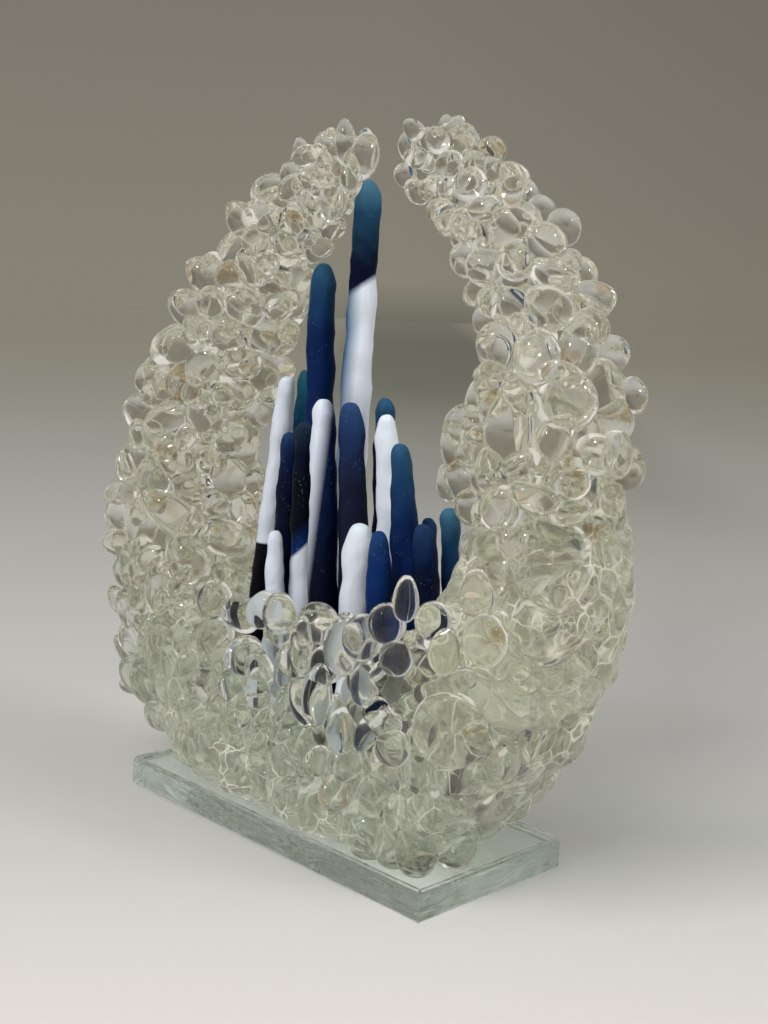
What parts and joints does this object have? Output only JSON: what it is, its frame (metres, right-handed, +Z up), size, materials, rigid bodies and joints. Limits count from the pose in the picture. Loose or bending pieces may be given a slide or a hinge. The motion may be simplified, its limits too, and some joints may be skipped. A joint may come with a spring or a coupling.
{
  "type": "fused glass sculpture",
  "caption": "Free-standing fused glass sculpture: a crescent of clear fused nuggets on a float glass plate, cupping a cluster of satin blue and white glass fingers.",
  "frame": {"origin": "middle of the base plate's underside", "axes": "+X along the plate's long side to the viewer's right, -Y to the front, +Z up"},
  "size_m": [0.2668, 0.0827, 0.2587],
  "materials": {
    "plate_glass": "clear float glass with a pale green edge, polished arrises",
    "clear_glass": "clear, fire polished, faintly green",
    "navy_glass": "satin etched cobalt glass, paler and teal at the tips",
    "white_glass": "satin etched opal white glass",
    "two_tone_glass": "satin etched cobalt and opal white glass, fused end to end"
  },
  "bodies": {
    "root": {"base_plate": "plate_glass", "finger_tallest_blue_white": "two_tone_glass", "finger_tall_navy": "navy_glass", "finger_left_white": "two_tone_glass", "finger_left_teal": "navy_glass", "finger_left_navy": "navy_glass", "finger_white_blue": "two_tone_glass", "finger_navy_white_foot": "two_tone_glass", "finger_short_white_left": "white_glass", "finger_centre_navy": "navy_glass", "finger_short_white": "white_glass", "finger_back_navy": "navy_glass", "finger_right_white": "white_glass", "finger_short_blue": "navy_glass", "finger_right_blue": "navy_glass", "finger_short_navy": "navy_glass", "finger_back_short_navy": "navy_glass", "finger_far_right_blue": "navy_glass", "front_nugget_dome": "clear_glass", "front_nugget_back": "clear_glass", "front_nugget_slim": "clear_glass", "front_nugget_left": "clear_glass", "front_nugget_dark": "clear_glass", "front_nugget_top": "clear_glass", "front_nugget_right": "clear_glass", "front_nugget_right_low": "clear_glass", "front_nugget_ribbed": "clear_glass", "front_nugget_centre": "clear_glass", "front_nugget_foot_left": "clear_glass", "front_nugget_foot_right": "clear_glass", "front_nugget_long": "clear_glass", "front_nugget_disc": "clear_glass", "front_nugget_far_left": "clear_glass", "front_nugget_shoulder": "clear_glass", "front_nugget_side": "clear_glass", "front_rod_long": "clear_glass", "front_rod_short": "clear_glass", "front_rod_stub": "clear_glass", "left_horn": "clear_glass", "right_horn": "clear_glass", "cradle": "clear_glass"}
  },
  "joints": []
}
